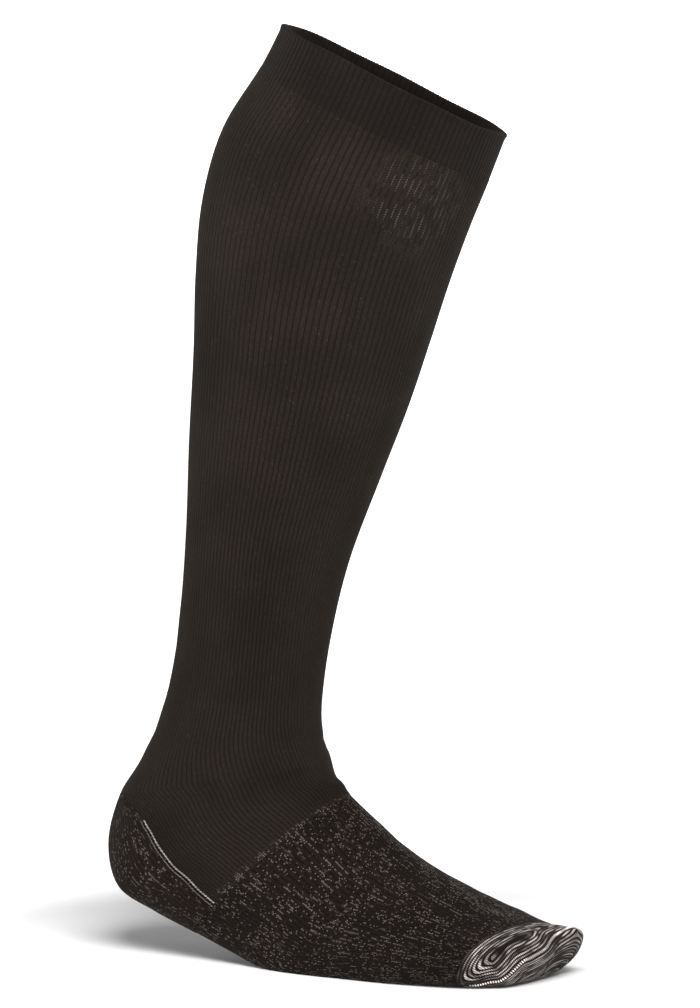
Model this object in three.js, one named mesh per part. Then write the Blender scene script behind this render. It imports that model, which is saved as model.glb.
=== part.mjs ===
// Compression stocking, knee high, worn on a right foot with the heel lifted.
// Millimetres. +X points to the toes, +Y to the inner side of the leg, +Z up.
// The origin is the centre of the cuff opening, where the leg holds the stocking up.
import * as THREE from "three";

// Driving dimensions
const CLOTH = 1.5; // thickness of the knitted wall, without its ribs
const WELT_CLOTH = 2.2; // the cuff band is knitted double
const RIB_HEIGHT = 0.5;
const WELT_RIB_HEIGHT = 0.3;
const EDGE_ROLL = 0.6; // how far the turned cuff edge stands out
const EDGE_LIP = 0.2; // the same at the very edge
const EDGE_DEPTH = 1.2; // from the very edge down to the widest line of the roll
const ROLL_END = 0.15; // where the roll ends, in sections below the edge
const ROLL_END_OUT = 0.1; // how far the cloth still stands out there
const SEAM_GAP = 0.3; // between pieces that are knitted or sewn together
const FLOOR_BLEND = 3; // height over which the sole turns flat on the floor
const RIB_COUNT = 120; // ribs round the leg, the same from cuff to instep
const LINING_STEP = 4; // outer columns to one column of the plain inside
const FOOT_COLUMNS = 48;
const HEEL_COLUMNS = 20;
const SEAM_WIDTH = 2.4; // of the raised gore and toe seams
const SEAM_HEIGHT = 0.8;
const SEAM_TOP = 0.6; // width of a seam's top to its foot
const GORE_FIRST = 2; // rows of the heel turn between which the raised gore line runs
const GORE_LAST = 8;
const TOE_SEAM_SPAN = 66; // degrees to each side of the middle of the toe
const TOE_SEAM_STEPS = 20;
const TOE_SEAM_TURN = 2; // degrees to each side over which the direction of the toe seam is taken

// Sections of the stocking, from the cuff to the toe, in a frame that stands on the floor under the heel.
// frontX, frontZ and backX, backZ are the ends of a section on the leg's middle plane, front (later top)
// and back (later sole). side moves the middle plane, outer and inner are half widths, roll lifts the
// inner side, skew moves the inner side forward, widest shifts the widest place to the front, and topBox
// and soleBox are 2 for an ellipse and more for a squarer half.
const COLUMNS =
  "name frontX frontZ backX backZ side outer inner roll skew widest topBox soleBox".split(" ");
const SECTIONS = [
  ["cuff edge", 196, 401, 90, 451, 17, 54, 54, -0.17, 0, 0, 2, 2],
  ["welt end", 187, 379, 79, 431, 15.5, 56, 56, -0.15, 0, 0, 2, 2],
  ["below knee", 177, 354, 59, 402, 13, 58, 58, -0.12, 0, 0, 2, 2],
  ["calf", 167, 327, 49, 369, 11, 58.5, 58.5, -0.09, 0, 0, 2, 2],
  ["lower calf", 158, 300, 46.5, 334, 9, 57.5, 57.5, -0.08, 0, 0, 2, 2],
  ["mid leg", 147.5, 269, 46, 295, 7, 54, 54, -0.07, 0, 0, 2, 2],
  ["shin", 133.5, 233, 43.5, 251, 5, 48, 48, -0.06, 0, 0, 2, 2],
  ["low shin", 118.5, 194, 41.5, 208, 3.5, 41.5, 41.5, -0.06, 0, 0, 2, 2],
  ["above ankle", 110.5, 157, 37, 167, 2, 35.5, 35.5, -0.05, 0, 0, 2, 2],
  ["ankle", 107.5, 126, 29.5, 126, 0, 33, 33, 0, 0, 0, 2, 2],
  ["low ankle", 108.5, 110, 15, 95, 0, 34, 34, 0, 0, 0, 2, 2],
  ["heel top", 113.5, 97, 1, 75, 0, 34, 33, 0, 0, 0, 2, 2],
  ["heel back", 118, 90.5, -4, 51, 0, 33.5, 32, 0, 0, -0.1, 2, 2.2],
  ["heel", 121.5, 87, 4, 30, 0, 33, 31, 0, 0, -0.2, 2, 2.3],
  ["heel sole", 124, 84, 28, 20.5, 0, 33, 31, 0, 0, -0.3, 2, 2.4],
  ["foot start", 127, 81, 54, 12.5, 0, 33.5, 32, 0, 0, -0.35, 2, 2.5],
  ["arch", 139.5, 71, 86, 4, 0, 36, 33, 0, 0.02, -0.4, 2, 2.8],
  ["mid foot", 155, 59, 118, -4.5, 0, 40, 37, 0, 0.05, -0.45, 2, 3.2],
  ["instep", 171, 49, 148, -4, 0, 43, 41, 0, 0.08, -0.4, 2, 3],
  ["ball", 188, 41, 174, -4, 0, 44.5, 43.5, 0, 0.1, -0.35, 2, 3],
  ["toe joints", 206, 32.5, 196, -3, 0, 44, 43.5, 0, 0.12, -0.25, 2.2, 2.8],
  ["toe start", 221, 26.5, 211, -3, 0, 41.5, 41, 0, 0.12, -0.15, 2.4, 2.8],
  ["toes", 229, 25, 218, -3, 0, 38.5, 38, 0.03, 0.14, -0.1, 2.5, 2.7],
  ["toe front", 235, 23.5, 224.5, -2, 0, 34.5, 34, 0.06, 0.16, 0, 2.5, 2.5],
  ["toe tip", 237.5, 22, 231, 1.5, 0, 29.5, 29, 0.13, 0.16, 0, 2.4, 2.4],
  ["toe seam", 239, 21, 241, 16, 0, 24, 22, 0.24, 0.16, 0, 2, 2],
].map((row) => Object.fromEntries(row.map((value, i) => [COLUMNS[i], value])));

const row = (name) => SECTIONS.findIndex((section) => section.name === name);
const WELT_END = row("welt end");
const HEEL_TOP = row("heel top");
const FOOT_START = row("foot start");
const TOE_START = row("toe start");
const TOE_SEAM = row("toe seam");

// Half width of the heel pocket, in degrees from its back, from the heel top to the foot start.
const POCKET_DEGREES = [36, 62, 73, 79, 83, 84, 84, 82, 80];

// The ribs sweep forward between these sections, round the ankle and over the instep.
const SWEEP_START = 8.8;
const SWEEP_END = 14.4;
const EDGE_HOLD = 4; // power by which only the ribs near the pocket follow its edge

// Soft folds: place along the sections, degrees round from the front, height, and spread both ways.
const FOLDS = [
  { name: "front ankle ridge", at: 11, round: 10, height: 0.9, along: 0.45, spread: 45 },
  { name: "front ankle trough", at: 12, round: 5, height: -0.7, along: 0.5, spread: 45 },
  { name: "instep ridge", at: 13.2, round: 20, height: 0.6, along: 0.6, spread: 40 },
];

const CUFF = SECTIONS[0];
const ORIGIN = new THREE.Vector3(
  (CUFF.frontX + CUFF.backX) / 2,
  CUFF.side,
  (CUFF.frontZ + CUFF.backZ) / 2,
);

// A column's value between the sections, on a smooth curve through them.
function along(column, s) {
  const last = SECTIONS.length - 1;
  const i = Math.min(Math.max(Math.floor(s), 0), last - 1);
  const t = s - i;
  const value = (k) => SECTIONS[k][column];
  const b = value(i);
  const c = value(i + 1);
  const a = i > 0 ? value(i - 1) : 2 * b - c;
  const d = i + 2 <= last ? value(i + 2) : 2 * c - b;
  return b + 0.5 * t * (c - a + t * (2 * a - 5 * b + 4 * c - d + t * (3 * (b - c) + d - a)));
}

// Flat on the floor below it, with a short round turn.
function onFloor(z) {
  if (z >= FLOOR_BLEND) return z;
  return z <= -FLOOR_BLEND ? 0 : (z + FLOOR_BLEND) ** 2 / (4 * FLOOR_BLEND);
}

// The outer surface: s counts sections from the cuff, degrees go from the front over the outer side.
function skin(s, degrees) {
  const angle = THREE.MathUtils.degToRad(degrees);
  const cos = Math.cos(angle);
  const sin = Math.sin(angle);
  const box = along(cos > 0 ? "topBox" : "soleBox", s);
  const reach = (Math.abs(cos) ** box + Math.abs(sin) ** box) ** (-1 / box);
  const across = sin * reach;
  const forward = cos * reach + along("widest", s) * across ** 2;
  const y = -across * along(sin > 0 ? "outer" : "inner", s);
  const half = [along("frontX", s) - along("backX", s), along("frontZ", s) - along("backZ", s)];
  const middle = [along("frontX", s) + along("backX", s), along("frontZ", s) + along("backZ", s)];
  const point = new THREE.Vector3(
    (middle[0] + half[0] * forward) / 2 + along("skew", s) * y,
    y,
    (middle[1] + half[1] * forward) / 2 + along("roll", s) * y,
  );
  const out = new THREE.Vector3(half[0] * cos, -sin * Math.hypot(...half), half[1] * cos).normalize();
  for (const fold of FOLDS) {
    const turn = THREE.MathUtils.euclideanModulo(degrees - fold.round + 180, 360) - 180;
    const fade = Math.exp(-(((s - fold.at) / fold.along) ** 2) - (turn / fold.spread) ** 2);
    point.addScaledVector(out, fold.height * fade);
  }
  point.y += along("side", s);
  point.z = onFloor(point.z);
  return point.sub(ORIGIN);
}

// A point of the cloth: moved down the stocking, round it and out of it by lengths in millimetres.
function cloth(s, degrees, down = 0, round = 0, out = 0) {
  const STEP = 0.02;
  const last = SECTIONS.length - 1;
  const downward = skin(Math.min(s + STEP, last), degrees).sub(skin(Math.max(s - STEP, 0), degrees));
  const around = skin(s, degrees + 1).sub(skin(s, degrees - 1));
  downward.normalize();
  around.normalize();
  const outward = new THREE.Vector3().crossVectors(around, downward).normalize();
  return skin(s, degrees)
    .addScaledVector(downward, down)
    .addScaledVector(around, round)
    .addScaledVector(outward, out);
}

// A closed wall is gathered here, as points and the triangles between them.
class Wall {
  constructor() {
    this.points = [];
    this.faces = [];
  }
  point(vector) {
    this.points.push(vector);
    return this.points.length - 1;
  }
  line(vectors) {
    return vectors.map((vector) => this.point(vector));
  }
  triangle(a, b, c, flip = false) {
    this.faces.push(flip ? [a, c, b] : [a, b, c]);
  }
  // Joins two lines that run the same way. The fine line has a whole number of steps to each coarse one.
  strip(fine, coarse, flip = false) {
    const ratio = (fine.length - 1) / (coarse.length - 1);
    for (let j = 0; j + 1 < coarse.length; j++) {
      const half = Math.ceil(ratio / 2);
      for (let k = 0; k < ratio; k++) {
        const at = j * ratio + k;
        this.triangle(fine[at], fine[at + 1], coarse[k < half ? j : j + 1], flip);
      }
      this.triangle(coarse[j], fine[j * ratio + half], coarse[j + 1], flip);
    }
  }
  mesh(name, color, roughness) {
    const flat = this.points.flatMap((p) => [p.x, p.y, p.z]);
    const geometry = new THREE.BufferGeometry();
    geometry.setAttribute("position", new THREE.Float32BufferAttribute(flat, 3));
    geometry.setIndex(this.faces.flat());
    geometry.computeVertexNormals();
    const material = new THREE.MeshStandardMaterial({ color, roughness, metalness: 0 });
    const mesh = new THREE.Mesh(geometry, material);
    mesh.name = name;
    return mesh;
  }
}

const range = (count) => Array.from({ length: count }, (_, i) => i);
const steps = (from, to, count) => range(count + 1).map((i) => from + ((to - from) * i) / count);

// A tube of cloth. rows give s, the move down at seams and the thickness outside and inside the skin.
function tube(wall, rows, columns, lining, rib) {
  const circle = (entry, count, out, raise) => {
    const line = wall.line(
      range(count).map((i) =>
        cloth(entry.s, (360 * i) / count, entry.down ?? 0, 0, out + (i % 2 ? raise : 0)),
      ),
    );
    return [...line, line[0]];
  };
  const outside = rows.map((entry) => circle(entry, columns, entry.out ?? 0, rib * (entry.rib ?? 1)));
  const inside = rows.map((entry) => circle(entry, lining, -entry.cloth, 0));
  for (let r = 0; r + 1 < rows.length; r++) {
    wall.strip(outside[r], outside[r + 1]);
    wall.strip(inside[r], inside[r + 1], true);
  }
  return { outside, inside };
}

function weltMesh() {
  const wall = new Wall();
  const last = WELT_END;
  const rows = [
    { s: 0, out: EDGE_LIP, cloth: WELT_CLOTH, rib: 0.5 },
    { s: 0, down: EDGE_DEPTH, out: EDGE_ROLL, cloth: WELT_CLOTH },
    { s: ROLL_END, out: ROLL_END_OUT, cloth: WELT_CLOTH },
    { s: last, down: -SEAM_GAP / 2, cloth: WELT_CLOTH },
  ];
  const columns = 2 * RIB_COUNT;
  const { outside, inside } = tube(wall, rows, columns, columns / LINING_STEP, WELT_RIB_HEIGHT);
  wall.strip(outside[0], inside[0], true);
  wall.strip(outside[rows.length - 1], inside[rows.length - 1]);
  return wall.mesh("welt", 0x27221f, 0.9);
}

function footMesh() {
  const wall = new Wall();
  const rows = steps(FOOT_START, TOE_START, 9).map((s) => ({ s, cloth: CLOTH }));
  rows[0].down = SEAM_GAP / 2;
  rows[rows.length - 1].down = -SEAM_GAP / 2;
  const { outside, inside } = tube(wall, rows, FOOT_COLUMNS, FOOT_COLUMNS, 0);
  wall.strip(outside[0], inside[0], true);
  wall.strip(outside[rows.length - 1], inside[rows.length - 1]);
  return wall.mesh("foot", 0x2d2623, 0.9);
}

// Closes a flattened ring, column by column from one end of the slot to the other.
function closeSlot(wall, ring, flip) {
  const count = ring.length - 1;
  const quarter = count / 4;
  const at = (i) => ring[(i + count) % count];
  for (let k = 0; k < count / 2; k++) {
    const a = at(quarter + k);
    const b = at(quarter + k + 1);
    const c = at(quarter - k - 1);
    const d = at(quarter - k);
    if (a !== d) wall.triangle(a, d, c, flip);
    if (b !== c) wall.triangle(a, c, b, flip);
  }
}

function toeMesh() {
  const wall = new Wall();
  const rows = steps(TOE_START, TOE_SEAM, 6).map((s) => ({ s, cloth: CLOTH }));
  rows[0].down = SEAM_GAP / 2;
  const { outside, inside } = tube(wall, rows, FOOT_COLUMNS, FOOT_COLUMNS, 0);
  wall.strip(outside[0], inside[0], true);
  closeSlot(wall, outside[rows.length - 1], true);
  closeSlot(wall, inside[rows.length - 1], false);
  return wall.mesh("toe_cap", 0x605552, 0.9);
}

// Half width of the heel pocket at s, in degrees.
function pocketDegrees(s) {
  const place = ((s - HEEL_TOP) / (FOOT_START - HEEL_TOP)) * (POCKET_DEGREES.length - 1);
  const i = Math.min(Math.floor(place), POCKET_DEGREES.length - 2);
  return THREE.MathUtils.lerp(POCKET_DEGREES[i], POCKET_DEGREES[i + 1], place - i);
}

const TURN_ROWS = steps(HEEL_TOP, FOOT_START, POCKET_DEGREES.length - 1);

// Degrees round of a rib: share is 0 in front and 1 for the rib that meets the heel pocket's top corner.
function ribDegrees(s, share) {
  const top = 180 - POCKET_DEGREES[0];
  const foot = 180 - POCKET_DEGREES[POCKET_DEGREES.length - 1];
  if (Math.abs(share) > 1) return top * share;
  const reach = THREE.MathUtils.lerp(top, foot, THREE.MathUtils.smoothstep(s, SWEEP_START, SWEEP_END));
  const edge = s <= HEEL_TOP ? top : 180 - pocketDegrees(s);
  return reach * share + (edge - reach) * Math.sign(share) * Math.abs(share) ** EDGE_HOLD;
}

function legMesh() {
  const wall = new Wall();
  const all = 2 * RIB_COUNT;
  const edge = Math.round((all * (180 - POCKET_DEGREES[0])) / 360);
  const tubeRows = [WELT_END, 2, 3, 4, 5, 6, 7, 8, 9, 10, HEEL_TOP];
  // column i counts from the front, and stands at the same rib in every row
  const spot = (s, i) => ribDegrees(s, i / edge);
  const columnsOf = (from, to, step) => steps(from, to, (to - from) / step);
  const put = (s, i, out) => {
    let down = 0;
    let round = 0;
    if (s === WELT_END) down = SEAM_GAP / 2;
    if (s === FOOT_START) down = -SEAM_GAP / 2;
    if (s === HEEL_TOP && Math.abs(i) >= edge) down = -SEAM_GAP / 2;
    if (s >= HEEL_TOP && Math.abs(i) === edge) round = (-Math.sign(i) * SEAM_GAP) / 2;
    return cloth(s, spot(s, i), down, round, out);
  };
  const ring = (s, step, out, rib) => {
    const line = wall.line(
      columnsOf(-edge, all - edge - step, step).map((i) => {
        const column = i > all / 2 ? i - all : i;
        return put(s, column, out + (i % 2 ? rib : 0));
      }),
    );
    return [...line, line[0]];
  };
  const arc = (s, step, out, rib) =>
    wall.line(columnsOf(-edge, edge, step).map((i) => put(s, i, out + (i % 2 ? rib : 0))));

  const outside = tubeRows.map((s) => ring(s, 1, 0, RIB_HEIGHT));
  const inside = tubeRows.map((s) => ring(s, LINING_STEP, -CLOTH, 0));
  for (let r = 0; r + 1 < tubeRows.length; r++) {
    wall.strip(outside[r], outside[r + 1]);
    wall.strip(inside[r], inside[r + 1], true);
  }
  wall.strip(outside[0], inside[0], true);

  // over the instep the wall is open behind, where the heel pocket is set in
  const heelTopOut = outside[outside.length - 1];
  const heelTopIn = inside[inside.length - 1];
  const front = [heelTopOut.slice(0, 2 * edge + 1)];
  const lining = [heelTopIn.slice(0, (2 * edge) / LINING_STEP + 1)];
  wall.strip(heelTopOut.slice(2 * edge), heelTopIn.slice((2 * edge) / LINING_STEP));
  for (const s of TURN_ROWS.slice(1)) {
    front.push(arc(s, 1, 0, RIB_HEIGHT));
    lining.push(arc(s, LINING_STEP, -CLOTH, 0));
  }
  for (let r = 0; r + 1 < front.length; r++) {
    wall.strip(front[r], front[r + 1]);
    wall.strip(lining[r], lining[r + 1], true);
  }
  const first = (lines) => lines.map((line) => line[0]);
  const final = (lines) => lines.map((line) => line[line.length - 1]);
  wall.strip(front[front.length - 1], lining[lining.length - 1]);
  wall.strip(first(front), first(lining));
  wall.strip(final(front), final(lining), true);
  return wall.mesh("leg", 0x2d2623, 0.9);
}

function heelMesh() {
  const wall = new Wall();
  const rows = (out) =>
    TURN_ROWS.map((s) => {
      const half = pocketDegrees(s);
      let down = 0;
      if (s === HEEL_TOP) down = SEAM_GAP / 2;
      if (s === FOOT_START) down = -SEAM_GAP / 2;
      return wall.line(
        steps(-1, 1, HEEL_COLUMNS).map((side) => {
          const round = Math.abs(side) === 1 ? (-side * SEAM_GAP) / 2 : 0;
          return cloth(s, 180 + side * half, down, round, out);
        }),
      );
    });
  const outside = rows(0);
  const inside = rows(-CLOTH);
  const last = outside.length - 1;
  for (let r = 0; r < last; r++) {
    wall.strip(outside[r], outside[r + 1]);
    wall.strip(inside[r], inside[r + 1], true);
  }
  wall.strip(outside[0], inside[0], true);
  wall.strip(outside[last], inside[last]);
  wall.strip(outside.map((line) => line[0]), inside.map((line) => line[0]));
  wall.strip(outside.map((line) => line[HEEL_COLUMNS]), inside.map((line) => line[HEEL_COLUMNS]), true);
  return wall.mesh("heel_pocket", 0x352b28, 0.9);
}

// A strip that lies on the cloth: each row has four corners, low left, low right, high right, high left.
function stripMesh(name, corners, color) {
  const wall = new Wall();
  const lines = corners.map((row) => wall.line(row));
  for (let r = 0; r + 1 < lines.length; r++) {
    const here = [...lines[r], lines[r][0]];
    const next = [...lines[r + 1], lines[r + 1][0]];
    wall.strip(here, next);
  }
  const cap = (line, flip) => {
    wall.triangle(line[0], line[1], line[2], flip);
    wall.triangle(line[0], line[2], line[3], flip);
  };
  cap(lines[0], true);
  cap(lines[lines.length - 1], false);
  return wall.mesh(name, color, 0.8);
}

// The raised line along the joint of the heel pocket. turn is 1 on the outer side and -1 on the inner.
function goreMesh(name, turn) {
  const low = RIB_HEIGHT + SEAM_GAP;
  const high = low + SEAM_HEIGHT;
  const half = SEAM_WIDTH / 2;
  const corners = TURN_ROWS.slice(GORE_FIRST, GORE_LAST + 1).map((s) => {
    const degrees = turn * (180 - pocketDegrees(s));
    const at = (round, out) => cloth(s, degrees, 0, round, out);
    return [at(half, low), at(-half, low), at(-SEAM_TOP * half, high), at(SEAM_TOP * half, high)];
  });
  return stripMesh(name, corners, 0x9a9490);
}

// The raised line where the toe is closed, along the flattened end of the toe cap.
function toeSeamMesh() {
  const half = SEAM_WIDTH / 2;
  const middle = (s, degrees) => skin(s, degrees).add(skin(s, 180 - degrees)).multiplyScalar(0.5);
  const corners = steps(-TOE_SEAM_SPAN, TOE_SEAM_SPAN, TOE_SEAM_STEPS).map((degrees) => {
    const center = middle(TOE_SEAM, degrees);
    const up = skin(TOE_SEAM, degrees).sub(skin(TOE_SEAM, 180 - degrees)).normalize();
    const before = middle(TOE_SEAM, degrees - TOE_SEAM_TURN);
    const line = before.sub(middle(TOE_SEAM, degrees + TOE_SEAM_TURN)).normalize();
    const ahead = new THREE.Vector3().crossVectors(line, up).normalize();
    const at = (rise, out) => center.clone().addScaledVector(up, rise).addScaledVector(ahead, out);
    const top = SEAM_TOP * half;
    const high = SEAM_GAP + SEAM_HEIGHT;
    return [at(half, SEAM_GAP), at(-half, SEAM_GAP), at(-top, high), at(top, high)];
  });
  return stripMesh("toe_seam", corners, 0x9a9490);
}

const stocking = new THREE.Group();
stocking.add(weltMesh(), legMesh(), heelMesh(), footMesh(), toeMesh());
stocking.add(goreMesh("gore_seam_outer", 1), goreMesh("gore_seam_inner", -1), toeSeamMesh());
export default stocking;
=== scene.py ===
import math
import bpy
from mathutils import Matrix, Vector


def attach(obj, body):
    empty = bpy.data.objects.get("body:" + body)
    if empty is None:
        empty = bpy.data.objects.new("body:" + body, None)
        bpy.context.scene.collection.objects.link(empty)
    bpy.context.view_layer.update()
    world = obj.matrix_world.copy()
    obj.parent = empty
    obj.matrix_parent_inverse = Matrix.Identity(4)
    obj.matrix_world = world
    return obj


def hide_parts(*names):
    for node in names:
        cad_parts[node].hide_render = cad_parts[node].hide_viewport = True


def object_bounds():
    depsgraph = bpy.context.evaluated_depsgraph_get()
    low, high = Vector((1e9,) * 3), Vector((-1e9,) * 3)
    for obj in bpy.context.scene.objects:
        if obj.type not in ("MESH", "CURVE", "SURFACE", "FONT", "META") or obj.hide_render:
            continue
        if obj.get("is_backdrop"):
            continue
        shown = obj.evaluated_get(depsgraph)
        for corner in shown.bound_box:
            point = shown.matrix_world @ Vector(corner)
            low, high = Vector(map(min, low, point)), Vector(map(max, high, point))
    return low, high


bl_info = {
    "name": "Compression Stocking",
    "version": (1, 0, 0),
    "blender": (4, 5, 0),
    "location": "3D View > Sidebar > Stocking",
    "description": "A worn knee-high compression stocking with a ribbed leg, a marled foot and a striped toe",
    "category": "Add Mesh",
}

import bmesh
import bpy
import numpy as np
from bpy.props import FloatProperty, FloatVectorProperty, IntProperty, PointerProperty
from mathutils import Matrix, Vector

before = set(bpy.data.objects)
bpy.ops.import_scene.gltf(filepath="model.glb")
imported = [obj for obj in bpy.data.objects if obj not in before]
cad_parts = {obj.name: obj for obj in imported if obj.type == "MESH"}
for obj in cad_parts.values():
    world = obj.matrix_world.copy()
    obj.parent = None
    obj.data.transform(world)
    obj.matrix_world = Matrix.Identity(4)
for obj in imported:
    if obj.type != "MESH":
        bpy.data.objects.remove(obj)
CAD_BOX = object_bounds()

BODY = "root"
MM = 0.001
KNIT_MAP = "Knit"
# Points round the mesh to one rib of the cuff and leg and one wale of the foot.
CUFF_POINTS, LEG_POINTS, FOOT_POINTS = 8, 6, 4
HEEL_COLUMNS, TOE_COLUMNS = 240, 600
# Roughness of the smoothest and the roughest strands.
STRAND_ROUGHNESS = (0.82, 0.95)
# Faces that meet at more than this are a rim, and not shaded as one round surface.
RIM_ANGLE = math.radians(80)

# The middle of the cuff opening, measured from the back of the heel on the floor.
ORIGIN = np.array([143.0, 17.0, 426.0])

# Sections of the worn stocking in millimetres, from the cuff to the toe. front and back are the points of
# the middle plane, outer and inner the half widths, side the shift of the whole section, roll and skew its
# lean, widest the place of its widest line, and the two boxes how square it is above and below.
SECTION_COLUMNS = (
    "front_x", "front_z", "back_x", "back_z", "side", "outer", "inner",
    "roll", "skew", "widest", "top_box", "sole_box",
)
SECTIONS = (
    ("cuff edge", 196, 401, 90, 451, 17, 54, 54, -0.17, 0, 0, 2, 2),
    ("welt end", 187, 379, 79, 431, 15.5, 56, 56, -0.15, 0, 0, 2, 2),
    ("below knee", 177, 354, 59, 402, 13, 58, 58, -0.12, 0, 0, 2, 2),
    ("calf", 167, 327, 49, 369, 11, 58.5, 58.5, -0.09, 0, 0, 2, 2),
    ("lower calf", 158, 300, 46.5, 334, 9, 57.5, 57.5, -0.08, 0, 0, 2, 2),
    ("mid leg", 147.5, 269, 46, 295, 7, 54, 54, -0.07, 0, 0, 2, 2),
    ("shin", 133.5, 233, 43.5, 251, 5, 48, 48, -0.06, 0, 0, 2, 2),
    ("low shin", 118.5, 194, 41.5, 208, 3.5, 41.5, 41.5, -0.06, 0, 0, 2, 2),
    ("above ankle", 110.5, 157, 37, 167, 2, 35.5, 35.5, -0.05, 0, 0, 2, 2),
    ("ankle", 107.5, 126, 29.5, 126, 0, 33, 33, 0, 0, 0, 2, 2),
    ("low ankle", 108.5, 110, 15, 95, 0, 34, 34, 0, 0, 0, 2, 2),
    ("heel top", 113.5, 97, 1, 75, 0, 34, 33, 0, 0, 0, 2, 2),
    ("heel back", 118, 90.5, -4, 51, 0, 33.5, 32, 0, 0, -0.1, 2, 2.2),
    ("heel", 121.5, 87, 4, 30, 0, 33, 31, 0, 0, -0.2, 2, 2.3),
    ("heel sole", 124, 84, 28, 20.5, 0, 33, 31, 0, 0, -0.3, 2, 2.4),
    ("foot start", 127, 81, 54, 12.5, 0, 33.5, 32, 0, 0, -0.35, 2, 2.5),
    ("arch", 139.5, 71, 86, 4, 0, 36, 33, 0, 0.02, -0.4, 2, 2.8),
    ("mid foot", 155, 59, 118, -4.5, 0, 40, 37, 0, 0.05, -0.45, 2, 3.2),
    ("instep", 171, 49, 148, -4, 0, 43, 41, 0, 0.08, -0.4, 2, 3),
    ("ball", 188, 41, 174, -4, 0, 44.5, 43.5, 0, 0.1, -0.35, 2, 3),
    ("toe joints", 206, 32.5, 196, -3, 0, 44, 43.5, 0, 0.12, -0.25, 2.2, 2.8),
    ("toe start", 221, 26.5, 211, -3, 0, 41.5, 41, 0, 0.12, -0.15, 2.4, 2.8),
    ("toes", 229, 25, 218, -3, 0, 38.5, 38, 0.03, 0.14, -0.1, 2.5, 2.7),
    ("toe front", 235, 23.5, 224.5, -2, 0, 34.5, 34, 0.06, 0.16, 0, 2.5, 2.5),
    ("toe tip", 237.5, 22, 231, 1.5, 0, 29.5, 29, 0.13, 0.16, 0, 2.4, 2.4),
    ("toe seam", 238.5, 21, 240.5, 16, 0, 24, 18, 0.24, 0.16, 0, 2, 2),
)
SECTION_NAMES = [row[0] for row in SECTIONS]
SECTION_VALUES = np.array([row[1:] for row in SECTIONS], float)
LAST = len(SECTIONS) - 1
WELT_END = SECTION_NAMES.index("welt end")
HEEL_TOP = SECTION_NAMES.index("heel top")
FOOT_START = SECTION_NAMES.index("foot start")
TOE_START = SECTION_NAMES.index("toe start")

# Half the width of the heel pocket in degrees from the back, from its top edge to its end on the sole.
POCKET_DEGREES = (36, 62, 73, 79, 83, 84, 84, 82, 80)

# Sections between which the ribs sweep forward, round the ankle and over the instep.
SWEEP_START, SWEEP_END = 8.8, 14.4

# Height over which a sole that goes down into the floor is rounded, in millimetres.
FLOOR_BLEND = 3.0

# Folds of the worn cloth: section, degrees round from the front, height and half lengths along and round.
FOLD_COLUMNS = ("at", "round", "height", "along", "spread", "lean")
FOLDS = (
    (11, 10, 0.9, 0.45, 45, 0),
    (12, 5, -0.7, 0.5, 45, 0),
    (13.2, 20, 0.6, 0.6, 40, 0),
)

# Smaller creases that only the cloth's outside shows, with the sections that they lean over a degree round.
CREASES = (
    (9.6, 28, -0.35, 0.10, 26, 0.006),
    (10.05, 22, -0.45, 0.10, 30, 0.007),
    (10.45, 34, 0.40, 0.10, 28, 0.006),
    (10.9, 40, -0.40, 0.12, 26, 0.008),
    (11.35, 25, -0.80, 0.25, 35, 0.004),
    (10.3, -40, -0.45, 0.10, 28, -0.006),
    (10.8, -34, 0.40, 0.12, 26, -0.007),
    (12.6, 48, -0.35, 0.22, 24, 0.010),
    (12.9, -50, -0.35, 0.22, 24, -0.010),
    (16.3, 22, 0.45, 0.16, 26, 0.004),
    (16.8, 10, -0.45, 0.16, 28, 0.004),
    (18.6, 14, 0.35, 0.18, 26, 0.003),
    (19.1, 0, -0.40, 0.18, 30, 0.003),
    (20.0, -24, 0.35, 0.20, 24, -0.004),
    (8.4, 160, -0.35, 0.22, 30, 0.003),
    (9.1, 176, 0.40, 0.20, 34, -0.003),
    (9.6, 168, -0.45, 0.16, 30, 0.004),
)


def smooth_through(values, place):
    """A smooth line through values that stand at 0, 1, 2 and so on."""
    values = np.asarray(values, float)
    ends = np.concatenate([[2 * values[0] - values[1]], values, [2 * values[-1] - values[-2]]])
    i = np.clip(np.floor(place).astype(int), 0, len(values) - 2)
    t = place - i
    a, b, c, d = (ends[i + k] for k in range(4))
    return b + 0.5 * t * (c - a + t * (2 * a - 5 * b + 4 * c - d + t * (3 * (b - c) + d - a)))


def along(column, s):
    """A column of the section table, smooth between its rows."""
    return smooth_through(SECTION_VALUES[:, SECTION_COLUMNS.index(column)], s)


def on_floor(z):
    """Flat on the floor below it, with a short round turn."""
    turn = (z + FLOOR_BLEND) ** 2 / (4 * FLOOR_BLEND)
    return np.where(z >= FLOOR_BLEND, z, np.where(z <= -FLOOR_BLEND, 0, turn))


def fold_height(folds, s, degrees):
    """How far the folds lift the cloth, in millimetres."""
    total = np.zeros(np.broadcast(s, degrees).shape)
    for row in folds:
        fold = dict(zip(FOLD_COLUMNS, row))
        turn = (degrees - fold["round"] + 180) % 360 - 180
        step = (s - fold["at"] - fold["lean"] * turn) / fold["along"]
        total = total + fold["height"] * np.exp(-(step**2) - (turn / fold["spread"]) ** 2)
    return total


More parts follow.
